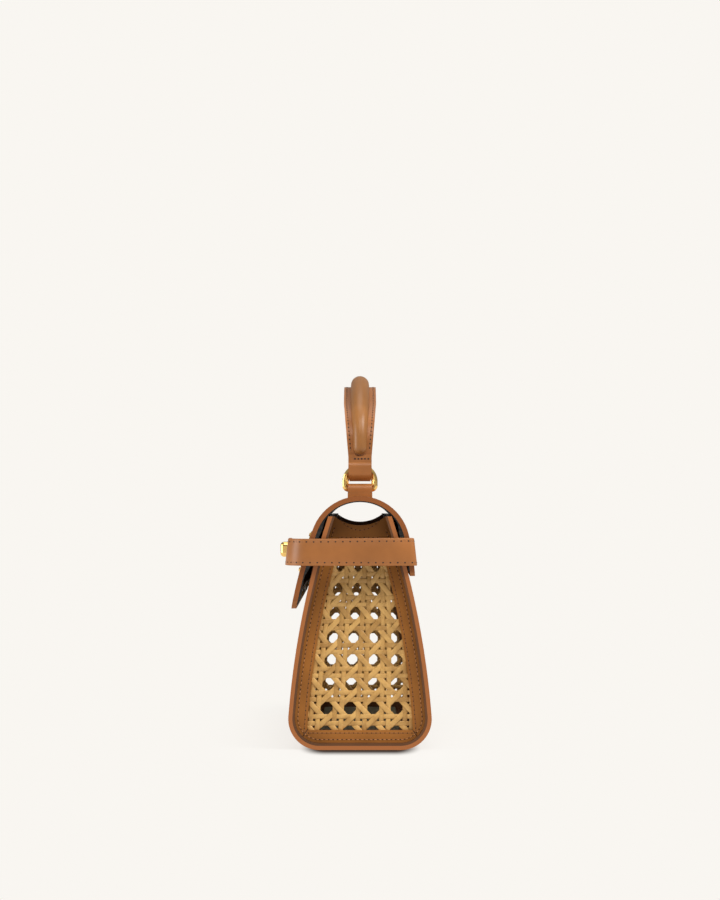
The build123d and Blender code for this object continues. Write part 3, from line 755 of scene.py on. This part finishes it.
def trim_rim_path(side, margin):
    """Line inside a gusset's outer edge, from one top corner round the foot to the other."""
    inset = wall_thickness + margin
    bend = corner_radius - inset
    foot = inset
    reach = wall_half(foot + bend, inset) - bend
    heights = [trim_rim_top - (trim_rim_top - foot - bend) * i / 24 for i in range(25)]
    back = [(wall_half(z, inset), z) for z in heights]
    turns = [i * pi / 20 for i in range(1, 11)]
    half = back + [(reach + bend * cos(a), foot + bend - bend * sin(a)) for a in turns]
    line = half + [(-y, z) for y, z in reversed(half)]
    return [gusset_point(side, y, z, 0) for y, z in line]


def mitre(builder, side, end):
    """Fine dark joint between the trim's foot and its side, from the window's corner outwards."""
    inset = wall_thickness + trim_width
    inner = (wall_half(trim_window_bottom, inset), trim_window_bottom)
    outer = (inner[0] + mitre_reach[0], trim_window_bottom - mitre_reach[1])
    points = []
    for i in range(7):
        share = i / 6
        y = end * (inner[0] + (outer[0] - inner[0]) * share)
        z = inner[1] + (outer[1] - inner[1]) * share
        points.append(gusset_point(side, y, z, -0.02))
    builder.tube(ribbon_rings(points, [Vector((side, 0, 0))] * 7, 0.35, 0.12), 0.5)


def trim_top_path(side, margin):
    """Line under a gusset's dipped top edge."""
    reach = wall_half(trim_top_side, wall_thickness + 3)
    ys = [reach * (i / 12 - 1) for i in range(25)]
    heights = [trim_top_side - trim_dip * (1 - (y / reach) ** 2) - margin for y in ys]
    return [gusset_point(side, y, z, 0) for y, z in zip(ys, heights)]


def stitch_gusset(side, threads, pale, holes):
    """Rows round the window, under the top edge and inside the rim of a side panel, and its mitres."""
    out = (side, 0, 0)
    for end in (1, -1):
        mitre(holes, side, end)
    stitch_line(threads, holes, trim_path(side, trim_margin), out, fine_pitch, closed=True, bore=trim_bore)
    stitch_line(threads, holes, trim_top_path(side, trim_top_margin), out, fine_pitch, bore=trim_bore)
    stitch_line(pale, holes, trim_rim_path(side, trim_rim_margin), out, fine_pitch, thick=0.4, rise=0.22)


def tab_crease(side, holes):
    """Dark line across the foot of a handle tab's hump."""
    x = side * (ring_spread + tab_hump)
    line = [Vector((x, y, lid_top + tab_patch)) for y in (-tab_half, 0, tab_half)]
    holes.tube(ribbon_rings(line, [Vector((side, 0, 0))] * 3, 0.5, 0.2), 0.5)


def stitch_wall(side, threads, holes):
    """Rows along the two ends of the front or back wall and round its window."""
    out = (0, side, 0.15)
    for edge in (-1, 1):
        x = edge * (half_length - seam_margin)
        heights = [seam_foot + (seam_top - seam_foot) * i / 30 for i in range(31)]
        seam = [wall_point(side, x, z, 0) for z in heights]
        stitch_line(threads, holes, seam, out, wall_pitch, rise=sunk_rise)
    low = window_bottom - frame_margin
    high = window_top + frame_margin
    reach = window_half + frame_margin
    heights = [low + (high - low) * i / 16 for i in range(17)]
    frame_line = [wrap_point(side, -reach, z) for z in heights]
    frame_line += [wrap_point(side, reach, z) for z in reversed(heights)]
    stitch_line(threads, holes, frame_line, out, wall_pitch, closed=True, rise=sunk_rise)


def stitch_lid(threads, holes):
    """Rows along both ends of the lid and the flap's lower edge."""
    lid_side = lid_line(0)[3:-2]
    normals = [(0, y, z - lid_centre_z + 4) for y, z in lid_side]
    for edge in (-1, 1):
        x = edge * (half_length - seam_margin)
        stitch_line(threads, holes, [(x, y, z) for y, z in lid_side], normals, wall_pitch, rise=sunk_rise)
    flap_y, flap_z = lid_side[0]
    flap_end_x = half_length - flap_seam_end
    flap_edge = [(-flap_end_x, flap_y, flap_z), (flap_end_x, flap_y, flap_z)]
    stitch_line(threads, holes, flap_edge, (0, -1, -0.1), wall_pitch, rise=sunk_rise)


def stitch_strap(side, stations, threads, holes):
    """Rows along the lower and the upper edge of a strap."""
    normals = [(side * nx, ny, 0.1) for _, _, nx, ny, _, _ in stations]
    for upper in (False, True):
        points = []
        for x, y, nx, ny, low, high in stations:
            z = high - strap_margin if upper else low + strap_margin
            inset = (z - strap_bottom) * strap_slope
            points.append((side * (x - nx * inset), y - ny * inset, z))
        stitch_line(threads, holes, points, normals, strap_pitch, rise=0.1)


def stitch_bag():
    """Stitches of the body, lid and straps."""
    threads = Builder()
    pale = Builder()
    holes = Builder()
    for side in (1, -1):
        stitch_gusset(side, threads, pale, holes)
    for side in (1, -1):
        tab_crease(side, holes)
    for side in (1, -1):
        stitch_wall(side, threads, holes)
    stitch_lid(threads, holes)
    stitch_strap(1, strap_stations(strap_front, strap_near_droop)[2:-2], threads, holes)
    stitch_strap(-1, strap_stations(strap_left_front, strap_far_droop)[2:-2], threads, holes)
    threads.build("stitches_bag", thread, "bag")
    pale.build("stitches_seam", pale_thread, "bag")
    holes.build("needle_holes_bag", needle_hole, "bag")


# Straps
def strap_stations(front, droop):
    """Plan of a strap's outer face at its foot: x, y, outward direction, and the band's two heights.

    The top edge comes down by droop towards the front corner.
    """
    reach = strap_side
    corner = strap_front_curve
    bend = strap_back_corner
    plan = [(x, -front, 0, -1) for x in strap_front_xs]
    hub = (reach - corner, corner - front)
    plan += [(hub[0] + corner * cos(a), hub[1] + corner * sin(a), cos(a), sin(a))
             for a in (-pi / 2 + i * pi / 28 for i in range(15))]
    plan += [(reach, y, 1, 0) for y in strap_side_ys]
    hub = (reach - bend, strap_back - bend)
    plan += [(hub[0] + bend * cos(a), hub[1] + bend * sin(a), cos(a), sin(a))
             for a in (i * pi / 16 for i in range(9))]
    plan += [(x, strap_back, 0, 1) for x in strap_back_xs]
    stations = []
    for x, y, nx, ny in plan:
        share = smooth((strap_narrow_from - x) / strap_narrow_over) if ny < -0.5 else 0.0
        low = strap_bottom + (lock_height - strap_end_width / 2 - strap_bottom) * share
        fall = droop * held((droop_from - y) / droop_over)
        if ny > 0:
            fall += strap_back_fall * min(1.0, (strap_side - x) / back_fall_over)
        top = strap_bottom + strap_width - fall
        high = top - (top - lock_height - strap_end_width / 2) * share
        near = x - (strap_front_xs[0] if ny < 0 else strap_back_xs[-1])
        if near < strap_end_round and abs(ny) == 1:
            half = (high - low) / 2
            pinch = half * (1 - sqrt(max(0.05, 1 - (1 - near / strap_end_round) ** 2)))
            low += pinch
            high -= pinch
        stations.append((x, y, nx, ny, low, high))
    return stations


def strap_cover(side, name, node, front, droop):
    """Leather band of one strap, bent softly round the front corner and narrower at the lock."""
    builder = Builder()
    rings = []
    soft = band_round
    cut = band_corner
    inner = strap_thickness
    for x, y, nx, ny, low, high in strap_stations(front, droop):
        section = [(soft, low), (cut, low + cut), (0, low + soft)]
        section += [(0, high - soft), (cut, high - cut), (soft, high)]
        section += [(inner - soft, high), (inner, high - soft), (inner, low + soft), (inner - soft, low)]
        ring = []
        for depth, z in section:
            inset = depth + (z - strap_bottom) * strap_slope
            ring.append(Vector((side * (x - nx * inset), y - ny * inset, z)))
        rings.append(ring if side == 1 else ring[::-1])
    builder.tube(rings, 0.5)
    piece = builder.build(name, strap_leather, "bag", (node,))
    piece.data.set_sharp_from_angle(angle=radians(50))


# Handle
def handle_half(z):
    """Half the handle strip's width at a height."""
    share = held((z - handle_taper_foot) / (handle_taper_top - handle_taper_foot))
    return (handle_end_width + (handle_width - handle_end_width) * share) / 2


def roll_cover():
    """Leather over the handle's core, which gets thinner towards both ends."""
    builder = Builder()
    line = handle_line(0, roll_end)
    rings = []
    last = len(line) - 1
    for i, (x, z) in enumerate(line):
        before = line[max(i - 1, 0)]
        after = line[min(i + 1, last)]
        out = Vector((after[1] - before[1], 0, before[0] - after[0])).normalized()
        out = out if out.dot(Vector((x, 0, max(0, z - shoulder_z)))) >= 0 else -out
        share = smooth((z - roll_end) / (roll_full - roll_end))
        half = roll_end_half + (roll_radius - roll_end_half) * share
        centre = Vector((x, 0, z)) + out * (roll_end_lift + (roll_lift - roll_end_lift) * share)
        rings.append([centre + Vector((0, cos(a) * half, 0)) + out * (sin(a) * half)
                      for a in (2 * pi * k / roll_sides for k in range(roll_sides))])
    for end in (0, -1):
        ring = rings[end]
        centre = sum(ring, Vector()) / len(ring)
        extra = []
        for k in range(1, roll_cap_steps + 1):
            turn = k * pi / (2 * roll_cap_steps)
            down = Vector((0, 0, sin(turn) * roll_end_half))
            extra.append([centre + (p - centre) * cos(turn) - down for p in ring])
        rings = [*reversed(extra), *rings] if end == 0 else [*rings, *extra]
    builder.tube(rings, 0.5)
    builder.build("roll_cover", roll_leather, "handle", ("handle_roll",))


def stitch_handle():
    """Stitches of the handle: along both edges, and across each loop."""
    threads = Builder()
    holes = Builder()
    line = handle_line(handle_leather / 2, loop_top + 1)
    normals = [(x * 0.6, 0, max(0, z - shoulder_z)) for x, z in line]
    for edge in (-1, 1):
        points = [(x, edge * (handle_half(z) - handle_margin), z) for x, z in line]
        stitch_line(threads, holes, points, normals, fine_pitch)
    for side in (1, -1):
        x = side * (ring_spread + handle_leather / 2 + loop_leather)
        z = loop_top - loop_stitch_drop
        row = [(x, -loop_stitch_half, z), (x, loop_stitch_half, z)]
        stitch_line(threads, holes, row, (side, 0, 0), loop_pitch, thick=0.6)
    threads.build("stitches_handle", thread, "handle")
    holes.build("needle_holes_handle", needle_hole, "handle")


# Lining under the lid
def pucker(x, travel):
    """Height of the lining's creases, from 0 to 1, at a place along the bag and over the lid.

    Three waves of unlike lengths cross, so that no crease comes back.
    """
    waves = sin(x / 4.1 + 2.0 * sin(travel / 9.0)) + sin(x / 7.3 - travel / 5.0 + 1.3)
    waves += 0.8 * sin(x / 2.9 + travel / 3.7 + 0.6)
    return held(0.5 + waves / 4.2)


def lining_cover():
    """Dark lining under the lid, which puckers where it hangs free of the walls."""
    builder = Builder()
    back = lid_line(-lid_leather - lining_play)[2:-2]
    face = lid_line(-lid_leather - lining_thickness)[2:-2]
    reach = half_length - lining_end_gap
    rings = []
    for i in range(lining_steps + 1):
        x = reach * (2 * i / lining_steps - 1)
        ring = [Vector((x, y, z)) for y, z in back]
        inner = []
        for number, ((y, z), (back_y, back_z)) in enumerate(zip(face, back)):
            travel = lining_stride * number
            fade = min(1.0, number / 6, (len(face) - 1 - number) / 4)
            room = abs(y) - wall_half(z, 0) - lining_clear if z < body_height else 0.0
            if abs(x) < lock_zone and y < 0:
                room = 0.0
            swell = fade * min(lining_swell, max(0.0, lining_fill * room)) * pucker(x, travel)
            inward = Vector((0, y - back_y, z - back_z)).normalized()
            inner.append(Vector((x, y, z)) + inward * swell)
        rings.append(ring + inner[::-1])
    builder.tube(rings, 0.5)
    piece = builder.build("lining_puckers", finishes["lid_lining"], "bag", ("lid_lining",))
    piece.data.set_sharp_from_angle(angle=radians(70))


strap_cover(1, "strap_band_right", "strap_right", strap_front, strap_near_droop)
strap_cover(-1, "strap_band_left", "strap_left", strap_left_front, strap_far_droop)
stitch_bag()
stitch_handle()
roll_cover()
lining_cover()


# Floor, backdrop, lamps and camera
def floor():
    """Pale floor in the backdrop's colour, with a faint soft shadow from the lamps, and a painted contact
    shadow, a dark line where the bag stands that only the camera sees.
    """
    mesh = bpy.data.meshes.new("floor")
    corners = [(x * floor_half, y * floor_half, 0) for x, y in ((-1, -1), (1, -1), (1, 1), (-1, 1))]
    mesh.from_pydata(corners, [], [(0, 1, 2, 3)])
    piece = bpy.data.objects.new("floor", mesh)
    bpy.context.scene.collection.objects.link(piece)
    made = bpy.data.materials.new("floor")
    made.use_nodes = True
    tree = made.node_tree
    tree.nodes.clear()
    out = tree.nodes.new("ShaderNodeOutputMaterial")
    coordinates = tree.nodes.new("ShaderNodeTexCoord")
    size = add_node(tree, "ShaderNodeVectorMath", operation="ABSOLUTE")
    tree.links.new(coordinates.outputs["Object"], size.inputs[0])
    past = add_node(tree, "ShaderNodeVectorMath", operation="SUBTRACT")
    past.inputs[1].default_value = contact_half
    tree.links.new(size.outputs[0], past.inputs[0])
    beyond = add_node(tree, "ShaderNodeVectorMath", operation="MAXIMUM")
    tree.links.new(past.outputs[0], beyond.inputs[0])
    reach = add_node(tree, "ShaderNodeVectorMath", operation="MULTIPLY")
    reach.inputs[1].default_value = contact_weight
    tree.links.new(beyond.outputs[0], reach.inputs[0])
    gap = add_node(tree, "ShaderNodeVectorMath", operation="LENGTH")
    tree.links.new(reach.outputs[0], gap.inputs[0])
    lit = add_node(tree, "ShaderNodeBsdfDiffuse", Color=FLOOR)
    flat = add_node(tree, "ShaderNodeEmission", Color=BACKGROUND, Strength=1.0)
    # Painted contact shadow: a dark emission where the bag stands; rays other than the camera's see the
    # plain floor
    dark = add_node(tree, "ShaderNodeEmission", Color=PAINTED_CONTACT_SHADOW, Strength=1.0)
    rays = tree.nodes.new("ShaderNodeLightPath")
    bounce = add_node(tree, "ShaderNodeMath", operation="SUBTRACT")
    bounce.inputs[0].default_value = 1.0
    tree.links.new(rays.outputs["Is Camera Ray"], bounce.inputs[1])
    pale = add_node(tree, "ShaderNodeMath", operation="MAXIMUM")
    tree.links.new(ramp(tree, gap.outputs["Value"], painted_shadow_start, painted_shadow_end), pale.inputs[0])
    tree.links.new(bounce.outputs[0], pale.inputs[1])
    near = add_node(tree, "ShaderNodeMath", operation="MULTIPLY_ADD")
    near.inputs[1].default_value = -lit_share
    near.inputs[2].default_value = 1.0
    tree.links.new(ramp(tree, gap.outputs["Value"], lit_reach, 0.0), near.inputs[0])
    mix = tree.nodes.new("ShaderNodeMixShader")
    tree.links.new(near.outputs[0], mix.inputs[0])
    tree.links.new(lit.outputs[0], mix.inputs[1])
    tree.links.new(flat.outputs[0], mix.inputs[2])
    foot = tree.nodes.new("ShaderNodeMixShader")
    tree.links.new(pale.outputs[0], foot.inputs[0])
    tree.links.new(dark.outputs[0], foot.inputs[1])
    tree.links.new(mix.outputs[0], foot.inputs[2])
    tree.links.new(foot.outputs[0], out.inputs["Surface"])
    mesh.materials.append(made)


def backdrop():
    """Backdrop colour for the camera, a softer level of it for the light it gives."""
    world = bpy.data.worlds.new("backdrop")
    bpy.context.scene.world = world
    world.use_nodes = True
    tree = world.node_tree
    tree.nodes.clear()
    out = tree.nodes.new("ShaderNodeOutputWorld")
    rays = tree.nodes.new("ShaderNodeLightPath")
    seen = add_node(tree, "ShaderNodeBackground", Color=BACKGROUND, Strength=1.0)
    light = add_node(tree, "ShaderNodeBackground", Color=DAYLIGHT, Strength=DAYLIGHT_STRENGTH)
    either = add_node(tree, "ShaderNodeMath", operation="MAXIMUM")
    tree.links.new(rays.outputs["Is Camera Ray"], either.inputs[0])
    tree.links.new(rays.outputs["Is Transmission Ray"], either.inputs[1])
    mix = tree.nodes.new("ShaderNodeMixShader")
    tree.links.new(either.outputs[0], mix.inputs[0])
    tree.links.new(light.outputs[0], mix.inputs[1])
    tree.links.new(seen.outputs[0], mix.inputs[2])
    tree.links.new(mix.outputs[0], out.inputs["Surface"])


def lamp(name, place, target, width, height, power, colour):
    """A soft rectangular lamp that looks at a point."""
    light = bpy.data.lights.new(name, "AREA")
    light.shape = "RECTANGLE"
    light.size = width
    light.size_y = height
    light.energy = power
    light.color = colour
    piece = bpy.data.objects.new(name, light)
    bpy.context.scene.collection.objects.link(piece)
    piece.location = place
    piece.rotation_euler = (Vector(target) - Vector(place)).to_track_quat("-Z", "Y").to_euler()


floor()
backdrop()
# Each lamp's place, aim, width and height in metres, then its power in watts
lamp("key_right", (0.50, 0.80, 1.05), (0, 0, 0.09), 0.45, 0.45, 13.0, WARM_LAMP)
lamp("sheen_left", (0.30, -1.10, 0.25), (0, 0, 0.1), 0.5, 0.8, 8.5, WHITE_LAMP)
lamp("above", (-0.25, 0.0, 1.35), (0, 0, 0.1), 0.7, 0.7, 3.0, SOFT_LAMP)
lamp("front", (0.95, 0.0, 1.25), (0, 0, 0.1), 0.7, 0.5, 6.5, SOFT_LAMP)

scene = bpy.context.scene
scene.view_settings.view_transform = "Standard"
camera_data = bpy.data.cameras.new("camera")
camera_data.sensor_fit = "HORIZONTAL"
camera_data.sensor_width = sensor_width
camera_data.lens = sensor_width * focal_pixels / picture_width
camera = bpy.data.objects.new("camera", camera_data)
scene.collection.objects.link(camera)
camera.location = (camera_distance, 0.0, camera_height)
camera.rotation_euler = (radians(90 + camera_pitch), 0, radians(90))
scene.camera = camera
